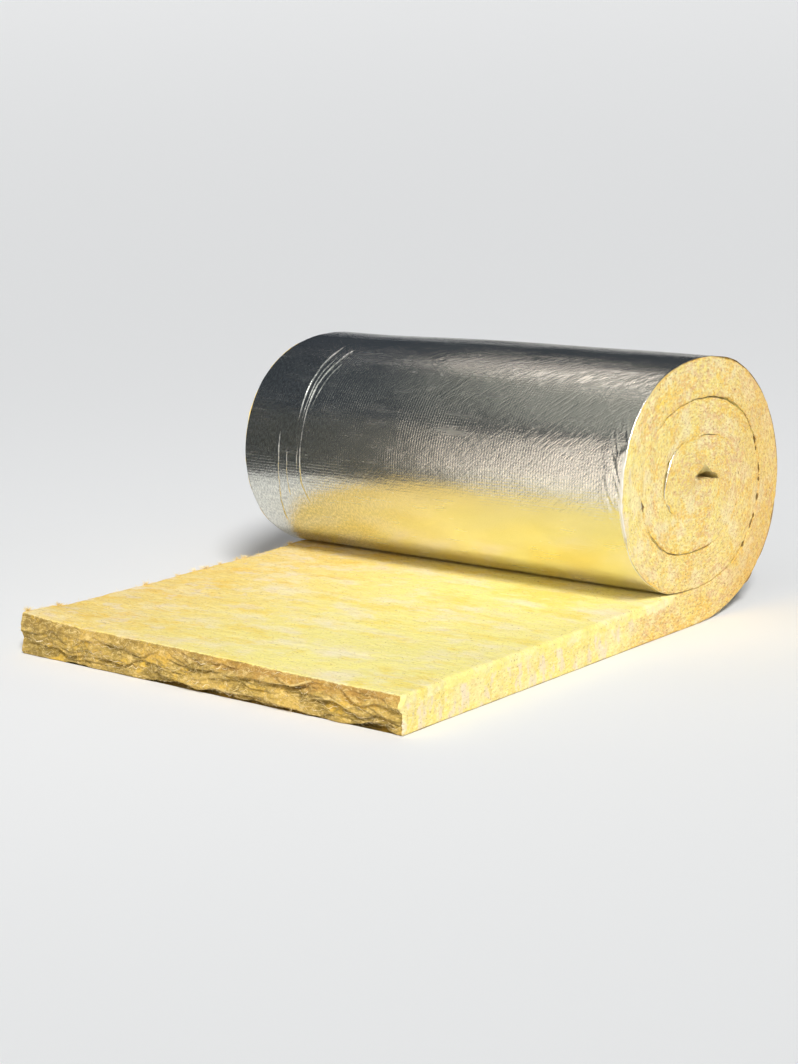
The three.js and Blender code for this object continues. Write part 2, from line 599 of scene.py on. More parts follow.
def across_band(thick, first, second):
    """Distances from the outer side, close together in the two rounded borders."""
    return np.concatenate(
        [
            first[:, None] * quarter_steps,
            first[:, None] + (thick - first - second)[:, None] * flat_steps,
            thick[:, None] - second[:, None] * quarter_steps[::-1],
        ],
        axis=1,
    )


print("points across the band:", 2 * len(quarter_steps) + len(flat_steps))


# %% One cut end
def end_grid(side, spacing=0.0048):
    """A cut end's points, their places on the ribbon, and the painted shade in its nicks and on open seams'
    lips.
    """
    station = stations_between(-flat_length, last_station, spacing)
    outer, inner = band(station)
    thick = np.linalg.norm(inner - outer, axis=1)
    first, second = edge_round(station, 0), edge_round(station, 1)
    from_outer = across_band(thick, first, second)
    share = from_outer / thick[:, None]
    section = outer[:, None] * (1 - share[..., None]) + inner[:, None] * share[..., None]
    from_front = (station + flat_length)[:, None]
    near_first = np.clip(1 - from_outer / first[:, None], 0, 1)
    near_second = np.clip(1 - (thick[:, None] - from_outer) / second[:, None], 0, 1)
    near_front = np.clip(1 - from_front / 0.004, 0, 1)
    near_border = np.maximum(np.maximum(near_first, near_second), near_front)
    radius = first[:, None] * (1 - share) + second[:, None] * share
    pulled_in = radius * (1 - np.sqrt(1 - near_border**2))
    y = section[..., 0] + front_profile(section[..., 1]) * np.clip(1 - from_front / 0.03, 0, 1)
    layers = np.sin(np.pi * np.clip(share, 0, 1)) * 0.0007
    ribbon = points_of(length_at(station)[:, None], from_outer, side)
    layered = layers * rough(ribbon, (0.05, 0.006, 1), 47, 2).reshape(y.shape)
    x = side * (half_width - pulled_in + layered)
    grid = np.stack([x, y, section[..., 1]], axis=-1)
    # Painted shade in the nicks of the seams' lips.
    worn = near_first * nick(station)[:, None] + near_second * nick(station + 1)[:, None]
    # Both lips of an open seam lie in its shade.
    inner_lip = near_first * ((1 - shut(station)) * smooth(station, 0.99, 1.02))[:, None]
    outer_lip = near_second * ((1 - shut(station + 1)) * smooth(station, 0.02, 0.06))[:, None]
    return grid, ribbon.reshape(grid.shape), worn + 0.50 * (inner_lip + outer_lip)


end_grids, end_ribbons, end_seam_shade = zip(*[end_grid(side) for side in (-1, 1)])
print("points on each cut end:", end_grids[0].shape[:2])

# %% Both cut ends as one piece
cut_ends = mesh_object("wool_cut_ends", end_grids, flip=[0])
end_ribbon = np.concatenate([ribbon.reshape(-1, 3) for ribbon in end_ribbons])


def relief_on(piece):
    """Applies the wool's relief to a finished mesh."""
    points = roughen(surface_of(piece)[0])
    piece.data.vertices.foreach_set("co", points.ravel())
    piece.data.update()


relief_on(cut_ends)
# On the free end the yellow of the top runs over the edge and down the cut side.
end_places = surface_of(cut_ends)[0]
on_free_end = 1 - smooth(end_places[:, 1], centre_y - 0.12, centre_y - 0.04)
on_free_end *= end_places[:, 2] < top_z + 0.012
run_over = smooth(end_ribbon[:, 1], wool_thickness - 0.034, wool_thickness - 0.004) * on_free_end
store(cut_ends, "cut", 1 - run_over)
store(cut_ends, "torn", np.zeros(len(cut_ends.data.vertices)))
store(cut_ends, "grain", end_ribbon)
# Painted shade for the nicks and the lips of open seams, read by the wool's colour.
store(cut_ends, "worn", np.concatenate([worn.ravel() for worn in end_seam_shade]))
keep(cut_ends, "wool_blanket")

# %% [markdown]
# The free end's top is a plain grid, fine enough for its creases. The torn front is finer, because
# its thinnest layers are only 11 mm high. Its lower border is ragged: it lifts off the facing here
# and there and tucks under, which leaves the dark hollows seen below a torn edge.

# %% Grids of the free end
def top_grid():
    """The bare top of the free end, from its front edge to where it lifts into the roll."""
    station = stations_between(-flat_length, -0.045, 0.0060)
    border = half_width - edge_round(station, 1)
    across = np.linspace(-1, 1, 171)
    x = border[:, None] * across
    y = blanket(station, wool_inner_depth)[:, 0] + end_edge_radius * np.clip(
        1 - (station + flat_length) / 0.03, 0, 1
    )
    return np.stack([x, np.broadcast_to(y[:, None], x.shape), np.full_like(x, top_z)], axis=-1)


def front_grid():
    """The torn front, with a strip that tucks under it along its ragged lower border."""
    x = np.linspace(-half_width, half_width, 361)
    more = 0.0060 + 0.0090 * smooth(x, -0.15, 0.0)
    lift = more * np.clip(rough(points_of(x, 0, 0), (0.11, 1, 1), 51) + 0.15, 0, 1)
    lift = wool_outer_depth + lift * smooth(half_width - np.abs(x), 0.005, 0.05)
    rise = 1 - np.cos(np.linspace(0, np.pi / 2, 12))
    straight = np.linspace(0, 1, 34)
    heights = np.concatenate([straight * 0.9, 0.9 + 0.1 * np.sin(np.linspace(0, np.pi / 2, 9)[1:])])
    z = lift + (top_z - lift) * heights[:, None]
    y = front_y + front_profile(z)
    under_z = wool_outer_depth + (lift - wool_outer_depth) * (1 - rise[::-1][:-1, None] ** 2)
    under_y = front_y + 0.022 * rise[::-1][:-1, None] + np.zeros_like(under_z)
    z, y = np.concatenate([under_z, z]), np.concatenate([under_y, y])
    low, high = (edge_round(np.array([-flat_length]), bare)[0] for bare in (0, 1))
    border = half_width - low - (high - low) * (z - wool_outer_depth) / wool_thickness
    return np.stack([x / half_width * border, y, z], axis=-1)


# %% [markdown]
# The lining is what can be glimpsed inside the seams and the hollow. Without it, light would fall
# right through the roll. A solid spiral would do as well, but most of its points would never be
# seen. The lining has many points along the ribbon and few across, except close to the two ends.

# %% Grids of the lining
lining_columns = [0.15, 0.3, 0.45, 0.6, 0.75, 0.88, 0.92, 0.94, 0.955, 0.97, 0.985, 1]


def lining_grid(station, line, bare_side):
    """One side of the wool inside the roll; line holds its (y, z) at each station."""
    border = half_width - edge_round(station, bare_side)
    across = np.concatenate([np.negative(lining_columns)[::-1], [0], lining_columns])
    x = border[:, None] * across
    y = np.broadcast_to(line[:, :1], x.shape)
    z = np.broadcast_to(line[:, 1:], x.shape)
    if bare_side:
        # The hollow narrows inwards, until its roof lies on its floor.
        ends = np.array([outer_side(np.array([last_station]))[0], fold])
        ends = ends[np.argsort(ends[:, 0])]
        floor_z = np.interp(y, ends[:, 0], ends[:, 1])
        closing = 0.92 * smooth(half_width - np.abs(x), 0.004, 0.042) * (station > roof_start)[:, None]
        z = z + (floor_z - z) * closing
    return np.stack([x, y, z], axis=-1)


def cut_face_grid():
    """The blanket's cut inner end, which is the floor of the hollow."""
    start, stop = outer_side(np.array([last_station]))[0], fold
    share = np.linspace(0, 1, 22)
    line = start * (1 - share[:, None]) + stop * share[:, None]
    across = np.concatenate([np.linspace(-1, -0.9, 12), np.linspace(-0.8, 0.8, 9), np.linspace(0.9, 1, 12)])
    x = np.broadcast_to((half_width - 0.003) * across, (len(share), len(across)))
    uneven = 0.0012 * rough(points_of(x, share[:, None] * 0.08, 0), (0.02, 0.01, 1), 55)
    z = line[:, 1:] + uneven.reshape(x.shape)
    return np.stack([x, np.broadcast_to(line[:, :1], x.shape), z], axis=-1)


# %% All the blanket's faces as one piece
bare_stations = stations_between(-0.05, last_station, 0.007)
outer_stations = stations_between(-flat_length + 0.02, last_station, 0.007)
top, front, bare_lining, glued_lining, cut_face = range(5)
wool_grids = [
    top_grid(),
    front_grid(),
    lining_grid(bare_stations, inner_side(bare_stations), 1),
    lining_grid(outer_stations, outer_side(outer_stations), 0),
    cut_face_grid(),
]
print("rows and columns of each face:", [grid.shape[:2] for grid in wool_grids])
blanket_wool = mesh_object("wool_blanket_faces", wool_grids, flip=[front, glued_lining])
plain_points = surface_of(blanket_wool)[0]
relief, lips, hollows = front_relief(plain_points[:, 0], plain_points[:, 2])
# Painted shade: the deeper the torn face lies, the more olive its colour is made.
deep = np.clip(0.5 - relief / 0.012, 0, 1)
relief_on(blanket_wool)


# %% Where the blanket's faces look torn
def torn_share(number, grid):
    """The front from its top lip down, a trace behind that lip (partly painted shade), and a little of the
    cut inner end.
    """
    y, z = grid[..., 1].ravel(), grid[..., 2].ravel()
    if number == top:
        # A trace of torn colour behind the top edge: partly the tear running over it, partly painted shade
        # dimming the edge's highlight.
        return 0.34 * (1 - smooth(y - front_y, 0.0, 0.016))
    if number == front:
        # The torn colour starts just above the rounded top edge, partly as painted shade there.
        return smooth(top_z - z, -0.0030, 0.0090)
    return np.full_like(z, 0.4 if number == cut_face else 0.0)


torn = np.concatenate([torn_share(number, grid) for number, grid in enumerate(wool_grids)])
store(blanket_wool, "torn", torn)
store(blanket_wool, "cut", np.zeros(len(torn)))
store(blanket_wool, "deep", deep * torn)
# Pale lips get a painted highlight and the hollows painted shade in the wool's colour.
store(blanket_wool, "lip", lips * torn)
store(blanket_wool, "hollow", hollows * torn)
grain = surface_of(blanket_wool)[0]
store(blanket_wool, "grain", grain)
keep(blanket_wool, "wool_blanket")

# %% [markdown]
# Wool is a thick, soft thing, not a skin: spun glass pressed by its own turns fills most of the space
# that the blanket takes.

# %% [markdown]
# ## The foil facing
# The facing is aluminium foil on paper with a net of glass threads between them. It is glued to the
# wool, so it follows the winding, but it isn't flat: it ripples, it keeps creases from handling,
# and at its free edges it stands a little proud of the wool.
#
# Foil mirrors its surroundings, so a slope of one degree shows as a shifted reflection. The broad
# ripples and the creases are therefore real geometry, on a grid of about 5 mm on the side that faces
# the camera and finer still at the creases. Only the net and the finest wrinkles are left to a bump
# map. The facing takes its place from the same formulas as the wool below it, so the wool never
# shows through.

# %% Creases in the facing
# Each crease runs round the roll: its places as (turns, metres from the middle), and its height.
creases = [
    ([(0.530, -0.360), (0.613, -0.358), (0.683, -0.352), (0.730, -0.347)], 0.0019),
    ([(0.535, -0.318), (0.620, -0.337), (0.677, -0.336), (0.775, -0.339), (0.815, -0.326)], 0.0021),
    ([(0.560, -0.338), (0.600, -0.346), (0.650, -0.343), (0.700, -0.343), (0.760, -0.349)], 0.0013),
    ([(0.545, -0.300), (0.600, -0.318), (0.650, -0.326), (0.700, -0.327)], 0.0010),
    ([(0.680, -0.401), (0.723, -0.398), (0.780, -0.406), (0.865, -0.434)], 0.0017),
    ([(0.712, -0.374), (0.760, -0.378), (0.805, -0.383)], 0.0014),
    ([(0.150, 0.210), (0.240, 0.221), (0.330, 0.214)], 0.0010),
    ([(0.080, -0.120), (0.200, -0.109), (0.300, -0.118)], 0.0008),
]
# Long pinched lines that run along the roll: (turns, first x, last x, height).
dents = [
    (0.660, -0.215, -0.010, 0.0009),
    (0.712, -0.300, -0.045, 0.0011),
    (0.330, -0.100, 0.260, 0.0006),
]
# Small pits: (turns, x).
pits = [(0.856, 0.037), (0.858, 0.060), (0.420, -0.210), (0.210, 0.330)]
print(len(creases), "creases,", len(dents), "dents and", len(pits), "pits")


# %% Height of the creases
crease_half_width = 0.0014
dent_half_width = 0.0022
pit_radius = 0.004
girth = float(length_at(1.0) - length_at(0.0))
print(f"girth of the roll {girth:.2f} m")


def crease_relief(station, x):
    """Height of all creases, dents and pits at a place on the facing."""
    relief = np.zeros_like(x)
    for number, (path, height) in enumerate(creases):
        turns, places = np.array(path).T
        starts, stops = turns[0], turns[-1]
        inside = smooth(station, starts, starts + 0.02) * (1 - smooth(station, stops - 0.02, stops))
        along = points_of(length_at(station), number, 0.0)
        stray = 0.0011 * rough(along, (0.030, 1, 1), 67, 3).reshape(x.shape)
        uneven = 0.85 + 0.45 * rough(along, (0.018, 1, 1), 69, 3).reshape(x.shape)
        off = (x - np.interp(station, turns, places) - stray) / crease_half_width
        relief += height * inside * uneven * (np.exp(-np.abs(off)) - 0.4 * np.exp(-((off - 2.6) ** 2)))
    for turns, first, last, depth in dents:
        inside = smooth(x, first, first + 0.03) * (1 - smooth(x, last - 0.03, last))
        off = (station - turns) * girth / dent_half_width
        relief += depth * inside * np.exp(-np.abs(off))
    for turns, place in pits:
        far = np.hypot((station - turns) * girth, x - place) / pit_radius
        relief -= 0.0012 * np.exp(-(far**2))
    return relief


# %% Ripples of the facing
def foil_relief(station, x):
    """Metres that the facing stands proud of the winding."""
    place = points_of(x, length_at(station), 0.0)
    broad = 0.0013 * rough(place, (0.32, 0.11, 1), 61, 2)
    ripple = 0.00035 * rough(place, (0.10, 0.020, 1), 63, 2) + 0.00008 * rough(place, (0.03, 0.009, 1), 65, 2)
    relief = (broad + ripple).reshape(np.shape(x))
    # The near rim is crumpled where the roll was gripped.
    askew = points_of(place[:, 0] - 0.45 * place[:, 1], place[:, 1], 0.0)
    folds = 1 - np.abs(noise(askew, (0.0095, 0.040, 1), 73)) * 2
    gripped = smooth(station, 0.61, 0.67) * (1 - smooth(station, 0.75, 0.80)) * smooth(x, 0.440, 0.492)
    relief = relief + 0.0018 * gripped * np.clip(folds, 0, 1).reshape(np.shape(x))
    return np.maximum(relief + crease_relief(station, x), -0.0004)


print(f"height of the first crease: {foil_relief(np.full(1, 0.613), np.full(1, -0.358))[0] * 1000:.1f} mm")

# %% [markdown]
# Foil keeps the shape that hands give it, and nowhere more than at its free rims. There it stands
# out past the wool, curls, and shows the paper on its back. The sheet could be made solid with a
# modifier, but only its rims are ever seen edge on. So its grid is folded round at each rim, and the
# last three columns of points there lie on its inner side.

# %% The facing's rims
def rim(station, side):
    """How far the facing stands out past the wool's end."""
    place = points_of(length_at(station), 7.0 * side, 0.0)
    ragged = 0.0008 * rough(place, (0.05, 1, 1), 71, 3)
    torn_edge = 0.0016 * rough(place, (0.012, 1, 1), 75, 2)
    # It stands furthest out on the near side of the outer turn and is drawn in round the back.
    flare = (0.0044 + torn_edge) * smooth(station, 0.63, 0.69) * (1 - smooth(station, 0.79, 0.82))
    back = 0.0018 * smooth(station, 0.16, 0.22) * (1 - smooth(station, 0.34, 0.38))
    low = 0.0030 * (smooth(station, 0.81, 0.85) + 1 - smooth(station, 0.11, 0.13))
    # Two short lengths of it show as dark slivers on the outline.
    sliver = 0.0026 * smooth(station, 0.425, 0.435) * (1 - smooth(station, 0.470, 0.485))
    sliver = sliver + 0.0045 * smooth(station, 0.078, 0.084) * (1 - smooth(station, 0.096, 0.102))
    out = 0.0010 + ragged + flare + sliver - back - low if side > 0 else -0.0024 + ragged
    seen = smooth(station, 2.50, 2.56) * (1 - smooth(station, 2.80, 2.90))
    out = np.where(station > 1.0, ragged - 0.0034 * (1 - seen), out)
    return out * (1 - shut(station)) - 0.0040 * shut(station)


print(f"the near rim stands out by {rim(np.array([0.74]), 1)[0] * 1000:.1f} mm where the roll is gripped")

# %% The folded sheet
folded_columns = 3


def facing_grid(station, across):
    """The outer face, folded round its two rims to show the paper on its inner side."""
    left, right = (half_width + rim(station, side) for side in (-1, 1))
    span = np.where(across < 0, left[:, None], right[:, None])
    x = across * span
    proud = foil_relief(np.broadcast_to(station[:, None], x.shape), x)
    # Only the bare outer turn is free to ripple.
    free = smooth(station, 0.0, 0.06) * (1 - smooth(station, 0.985, 1.03))
    depth = (seam_opening(station) + seam_wander(station))[:, None]
    depth = depth - proud * free[:, None]
    outer = blanket(np.broadcast_to(station[:, None], x.shape), depth)
    backed = blanket(np.broadcast_to(station[:, None], x.shape), depth + facing_thickness)
    face = np.concatenate([x[..., None], outer], axis=-1)
    back = np.concatenate([x[..., None], backed], axis=-1)
    folded = folded_columns
    sheet = np.concatenate([back[:, folded - 1 :: -1], face, back[:, : -folded - 1 : -1]], axis=1)
    sheet[..., 2] += settle(sheet[..., 1], sheet[..., 2]) + crown_lift(sheet[..., 0], sheet[..., 2])
    return sheet


# %% Columns of the facing's grid
def across_columns(spacing, creased=False):
    """Columns from end to end, closer together near the rims and, where asked, at the creases.

    The numbers are shares of half the width, from -1 at the far end to 1 at the near one.
    """
    middle = np.linspace(-0.955, 0.955, int(round(0.955 * width / spacing)) + 1)
    if creased:
        first, last = -0.89, -0.62
        fine = np.arange(first, last, 0.0013 / half_width)
        grip = np.arange(0.87, 0.955, 0.0020 / half_width)
        plain = middle[(middle > last) & (middle < 0.87)]
        middle = np.concatenate([middle[middle < first], fine, plain, grip])
    edge = np.array([0.959, 0.964, 0.969, 0.974, 0.979, 0.984, 0.989, 0.994, 1.0])
    return np.concatenate([-edge[::-1], middle, edge])


print("columns of the foil:", len(across_columns(0.0056, creased=True)), "on the side with the creases")

# %% The facing as one piece
facing_parts = [
    (stations_between(-flat_length, -0.02, 0.020), across_columns(0.12)),
    (stations_between(-0.02, 0.46, 0.0110), across_columns(0.0070)),
    (stations_between(0.46, 1.03, 0.0046), across_columns(0.0056, creased=True)),
    (stations_between(1.03, turn_count, 0.0070), across_columns(0.12)),
]
facing_grids = [facing_grid(station, across) for station, across in facing_parts]
facing = mesh_object("foil_facing_sheet", facing_grids)
ribbon_values, paper_values, clean_values = [], [], []
for (station, _), grid in zip(facing_parts, facing_grids):
    along = np.broadcast_to(length_at(station)[:, None], grid.shape[:2])
    ribbon_values.append(np.stack([grid[..., 0], along, np.zeros_like(along)], axis=-1).reshape(-1, 3))
    on_paper = np.zeros(grid.shape[:2])
    on_paper[:, :folded_columns] = on_paper[:, -folded_columns:] = 1.0
    # The metal is rubbed off the rim where the roll is gripped.
    rubbed = smooth(station, 0.66, 0.71) * (1 - smooth(station, 0.79, 0.82))
    at_rim = smooth(grid[..., 0], half_width - 0.003, half_width + 0.001)
    on_paper = np.maximum(on_paper, 0.8 * rubbed[:, None] * at_rim)
    paper_values.append(on_paper.ravel())
    # The paper is clean where the rim stands out at the near side, and in the open seam.
    clean = smooth(station, 0.56, 0.64) * (1 - smooth(station, 0.78, 0.82)) + 0.8 * smooth(station, 1.6, 2.5)
    clean_values.append(np.broadcast_to(clean[:, None], grid.shape[:2]).ravel())
store(facing, "ribbon", np.concatenate(ribbon_values))
store(facing, "paper", np.concatenate(paper_values))
store(facing, "clean", np.concatenate(clean_values))
keep(facing, "foil_facing")

# %% [markdown]
# ## Loose fibres
# What makes wool look like wool is the outline: single fibres stand off every edge, and pale curls
# hang out of the torn front. Real fibres are a few thousandths of a millimetre thick, so each strand
# here stands for a wisp of many. Blender's hair would make them too, but hair isn't kept when the
# model is handed on as plain meshes. So a strand is a narrow ribbon of quads along a curved path.

# %% Strands along curved paths
fibre_random = np.random.default_rng(7)


def strands(roots, headings, bends, lengths, widths, steps):
    """Flat ribbons: each starts at its root, sets off along its heading and curves towards bends."""
    count = len(roots)
    share = np.linspace(0, 1, steps + 1)
    turning = headings[:, None] + bends[:, None] * share[None, :, None]
    turning /= np.linalg.norm(turning, axis=2, keepdims=True)
    pieces = turning[:, :-1] * (lengths / steps)[:, None, None]
    path = np.concatenate([np.zeros((count, 1, 3)), np.cumsum(pieces, axis=1)], axis=1) + roots[:, None]
    sideways = np.cross(turning, fibre_random.normal(size=(count, 1, 3)))
    sideways /= np.linalg.norm(sideways, axis=2, keepdims=True) + 1e-9
    half = widths[:, None, None] / 2 * (1 - 0.8 * share**2)[None, :, None]
    return np.stack([path - sideways * half, path + sideways * half], axis=2).reshape(count, -1, 2, 3)


def joined(groups):
    """The points and quads of several groups of ribbons as one."""
    points, faces, count = [], [], 0
    for ribbons in groups:
        number, rows = ribbons.shape[:2]
        one = grid_faces(rows, 2, 0)
        starts = count + np.arange(number) * rows * 2
        faces.append((one[None] + starts[:, None, None]).reshape(-1, 4))
        points.append(ribbons.reshape(-1, 3))
        count += number * rows * 2
    return np.concatenate(points), np.concatenate(faces)


# %% Where fibres grow from
def pick(weights, count):
    """Random rows, each as likely as its weight."""
    return fibre_random.choice(len(weights), size=count, p=weights / weights.sum())


def along_surface(normals, towards, spread):
    """Random headings that lie nearly in the surface, mostly along a given direction."""
    heading = towards * fibre_random.choice([-1, 1], size=(len(normals), 1))
    heading = heading + fibre_random.normal(size=normals.shape) * spread
    heading -= normals * (heading * normals).sum(axis=1, keepdims=True)
    return heading / (np.linalg.norm(heading, axis=1, keepdims=True) + 1e-9)


def wisps(surface, chosen, towards, spread, stand, length, thick, steps):
    """Strands that leave the surface at a low angle and bend back towards it or away.

    They grow at the chosen rows, roughly along towards; stand is how steeply they leave.
    """
    root, normal = surface[0][chosen], surface[1][chosen]
    root = root + fibre_random.normal(size=root.shape) * 0.0015
    heading = along_surface(normal, towards, spread)
    heading = heading + normal * fibre_random.uniform(*stand, size=(len(root), 1))
    bend = fibre_random.normal(size=root.shape) * 0.7 - normal * 0.35
    lengths = fibre_random.uniform(*length, size=len(root))
    widths = fibre_random.uniform(*thick, size=len(root))
    return strands(root - normal * 0.0006, heading, bend, lengths, widths, steps)


# %% Curls that hang on the torn front
def curl_ribbons(count, steps=18):
    """Pale wavy ribbons that follow the ledges of the torn front."""
    share = np.linspace(0, 1, steps + 1)
    start = fibre_random.uniform(-half_width + 0.02, half_width - 0.06, count)
    height = fibre_random.uniform(0.010, top_z - 0.010, count)
    length = fibre_random.uniform(0.018, 0.085, count)
    wave = fibre_random.uniform(0.0008, 0.0032, count)[:, None]
    cycles = (length / fibre_random.uniform(0.018, 0.040, count))[:, None]
    phase = fibre_random.uniform(0, 2 * np.pi, count)[:, None]
    x = np.minimum(start[:, None] + length[:, None] * share, half_width - 0.004)
    slope = fibre_random.uniform(-0.12, 0.12, count)[:, None] * length[:, None]
    turns = 2 * np.pi * cycles * share + phase
    z = height[:, None] + wave * (np.sin(turns) + 0.6 * np.sin(2.3 * turns + 1) * share) + slope * share
    z = np.clip(z, 0.006, top_z - 0.004)
    stand = fibre_random.uniform(0.0002, 0.0018, count)[:, None] * np.sin(np.pi * share)
    y = front_y + front_profile(z) - front_relief(x, z)[0].reshape(x.shape) - stand - 0.0006
    path = np.stack([x, y, z], axis=-1)
    tapered = np.sin(np.pi * (0.08 + 0.84 * share))[:, None]
    wide = fibre_random.uniform(0.0005, 0.0013, count)[:, None, None] * tapered
    lift = np.stack([0 * x, -0.45 + 0.3 * np.sin(6 * share + phase), 0.9 + 0 * x], axis=-1) * wide
    return np.stack([path - lift, path + lift], axis=2)


# %% [markdown]
# Fibres come loose where the mat was cut or handled: along the seams of the cut ends, along the
# edges of the free end, and all over the torn front. Each point of the finished meshes gets a
# weight, and the roots are drawn at random by those weights.

# %% Choose where fibres grow on the cut ends
end_points, end_normals = surface_of(cut_ends)
face_points, face_normals = surface_of(blanket_wool)
along_x, along_z = np.array([1.0, 0, 0]), np.array([0, 0, 1.0])

near_edge = np.abs(2 * (end_ribbon[:, 1] - wool_thickness / 2) / wool_thickness) ** 14
bare_rim = np.where(end_points[:, 0] < 0, 0.018, 0.006)
at_facing = (end_ribbon[:, 1] < bare_rim) & (end_points[:, 2] > 0.012)
end_fuzz = pick((0.18 + np.clip(near_edge, 0, 1)) * ~at_facing, 7500)
print(len(end_fuzz), "fibres on the cut ends")

# %% Choose where they grow on the free end
is_tail = (face_points[:, 1] < contact_y) & (face_points[:, 2] < top_z + 0.010)
is_front = is_tail & (face_points[:, 1] < front_y + 0.012) & (face_points[:, 2] > 0.004)
is_top = is_tail & ~is_front & (face_points[:, 2] > top_z - 0.012)
edge_of_top = np.exp(-(half_width - np.abs(face_points[:, 0])) / 0.004)
edge_of_top += np.exp(-(face_points[:, 1] - front_y) / 0.01)
top_fuzz = pick(is_top * (0.05 + edge_of_top), 7000)
front_fuzz = pick(is_front * 1.0, 2600)
clumps = noise(face_points, 0.012, 81) > 0.45
far_edge = np.exp(-(half_width + face_points[:, 0]) / 0.003)
tufts = pick(is_top * clumps * far_edge, 650)
print(len(top_fuzz), "on the top,", len(front_fuzz), "on the torn front and", len(tufts), "in tufts")

# %% Grow them
faces, ends = (face_points, face_normals), (end_points, end_normals)
# Surface, rows, direction, how askew, how steep, how long, how thick, and quads in each.
fibre_groups = [
    wisps(faces, tufts, along_x, 0.8, (0.3, 1.3), (0.006, 0.014), (0.0004, 0.0009), 4),
    wisps(ends, end_fuzz, along_z, 0.9, (0.05, 0.7), (0.004, 0.013), (0.00025, 0.0005), 3),
    wisps(faces, top_fuzz, along_x, 0.5, (0.02, 0.5), (0.005, 0.018), (0.00025, 0.0005), 3),
    wisps(faces, front_fuzz, along_x, 0.6, (0.1, 0.9), (0.005, 0.022), (0.0003, 0.0006), 3),
    curl_ribbons(26),
]
print("fibres:", sum(len(group) for group in fibre_groups))

# %% The fibres as one piece
fibre_points, fibre_faces = joined(fibre_groups)
# What would hang through the floor lies on it.
fibre_points[:, 2] = np.maximum(fibre_points[:, 2], 0.0006)
fibre_mesh = bpy.data.meshes.new("loose_fibres")
fibre_mesh.from_pydata(fibre_points, [], fibre_faces.tolist())
loose_fibres = bpy.data.objects.new("loose_fibres", fibre_mesh)
bpy.context.scene.collection.objects.link(loose_fibres)
keep(loose_fibres, "wool_blanket")

# %% [markdown]
# ## Materials
# A material is a net of nodes, but its maths reads better as an expression. The class below wraps a
# socket, so that adding or multiplying two of them adds the node that does it.

# %% Sockets that can be reckoned with
class Wire:
    """A socket in a material. Python's operators on it add the nodes that work them out."""

    def __init__(self, socket):
        self.socket = socket
        self.nodes = socket.id_data.nodes
        self.links = socket.id_data.links

    def node(self, kind, settings=None, out=0, **inputs):
        """Adds any node: its settings first, then the numbers or wires of its sockets."""
        return add_node(self.nodes, self.links, kind, settings, out, **inputs)

    def maths(self, operation, first, second):
        """Adds or multiplies, and so on: with a vector node for places and colours."""
        if self.socket.type in ("VECTOR", "RGBA"):
            return self.node("ShaderNodeVectorMath", {"operation": operation}, at0=first, at1=second)
        return self.node("ShaderNodeMath", {"operation": operation}, at0=first, at1=second)

    def __add__(self, other):
        return self.maths("ADD", self, other)

    def __radd__(self, other):
        return self.maths("ADD", other, self)

    def __sub__(self, other):
        return self.maths("SUBTRACT", self, other)

    def __rsub__(self, other):
        return self.maths("SUBTRACT", other, self)

    def __mul__(self, other):
        return self.maths("MULTIPLY", self, other)

    def __rmul__(self, other):
        return self.maths("MULTIPLY", other, self)

    def axis(self, number):
        """One of the three numbers of a vector: 0 is x, 1 is y and 2 is z."""
        return self.node("ShaderNodeSeparateXYZ", {}, number, Vector=self)

    def between(self, low, high):
        """0 at low, 1 at high, and a smooth slope from one to the other."""
        settings = {"interpolation_type": "SMOOTHSTEP"}
        return self.node("ShaderNodeMapRange", settings, at0=self, at1=low, at2=high, at3=0.0, at4=1.0)

    def mix(self, first, second):
        """Goes from the first colour to the second as this wire goes from 0 to 1."""
        inputs = {"Factor_Float": self, "A_Color": first, "B_Color": second}
        return self.node("ShaderNodeMix", {"data_type": "RGBA"}, "Result_Color", **inputs)


# %% Add one node
def add_node(nodes, links, kind, settings=None, out=0, **inputs):
    """One node with its settings and inputs; a key such as at2 is the third socket."""
    made = nodes.new(kind)
    for name, value in (settings or {}).items():
        setattr(made, name, value)
    by_name = {socket.identifier: socket for socket in made.inputs}
    by_name |= {socket.name: socket for socket in made.inputs if socket.name not in by_name}
    by_name |= {f"at{number}": socket for number, socket in enumerate(made.inputs)}
    for name, value in inputs.items():
        socket = by_name[name]
        if isinstance(value, Wire):
            links.new(value.socket, socket)
        elif socket.type in ("VECTOR", "RGBA") and isinstance(value, (int, float)):
            socket.default_value = [value] * len(socket.default_value)
        else:
            socket.default_value = value
    if isinstance(out, str):
        return Wire(next(s for s in made.outputs if out in (s.identifier, s.name)))
    return Wire(made.outputs[out])


# %% Colours as they are seen
def tint(red, green, blue):
    """A colour from the 0 to 255 numbers of a screen, as the light that a shader needs."""
    parts = [value / 255 for value in (red, green, blue)]
    return (*[v / 12.92 if v < 0.04045 else ((v + 0.055) / 1.055) ** 2.4 for v in parts], 1.0)


print("a middle grey of the screen as light:", round(tint(128, 128, 128)[0], 3))


# %% A new finish
def finish_for(name, roughness, metallic=0.0, **constants):
    """A material with one plain shader, and a wire of the place on the part in metres."""
    material = bpy.data.materials.new(name)
    material.use_nodes = True
    shader = material.node_tree.nodes["Principled BSDF"]
    shader.inputs["Roughness"].default_value = roughness
    shader.inputs["Metallic"].default_value = metallic
    for socket, value in constants.items():
        shader.inputs[socket.replace("_", " ")].default_value = value
    place = add_node(material.node_tree.nodes, material.node_tree.links, "ShaderNodeTexCoord", out="Object")
    return material, shader, place


# %% Helpers for every finish
def feed(wire, shader, socket):
    """Leads a wire into a socket of the shader."""
    wire.links.new(wire.socket, shader.inputs[socket])


def cloud(place, scale, size=(1, 1, 1), detail=3.0, roughness=0.55):
    """Noise of about scale lumps to a metre, stretched where size is below 1."""
    inputs = {"Vector": place * size, "Scale": scale, "Detail": detail, "Roughness": roughness}
    return place.node("ShaderNodeTexNoise", {}, "Fac", **inputs)


def attribute(place, name, out="Fac"):
    """What was stored on the mesh under that name; place only says in which material."""
    return place.node("ShaderNodeAttribute", {"attribute_name": name}, out)
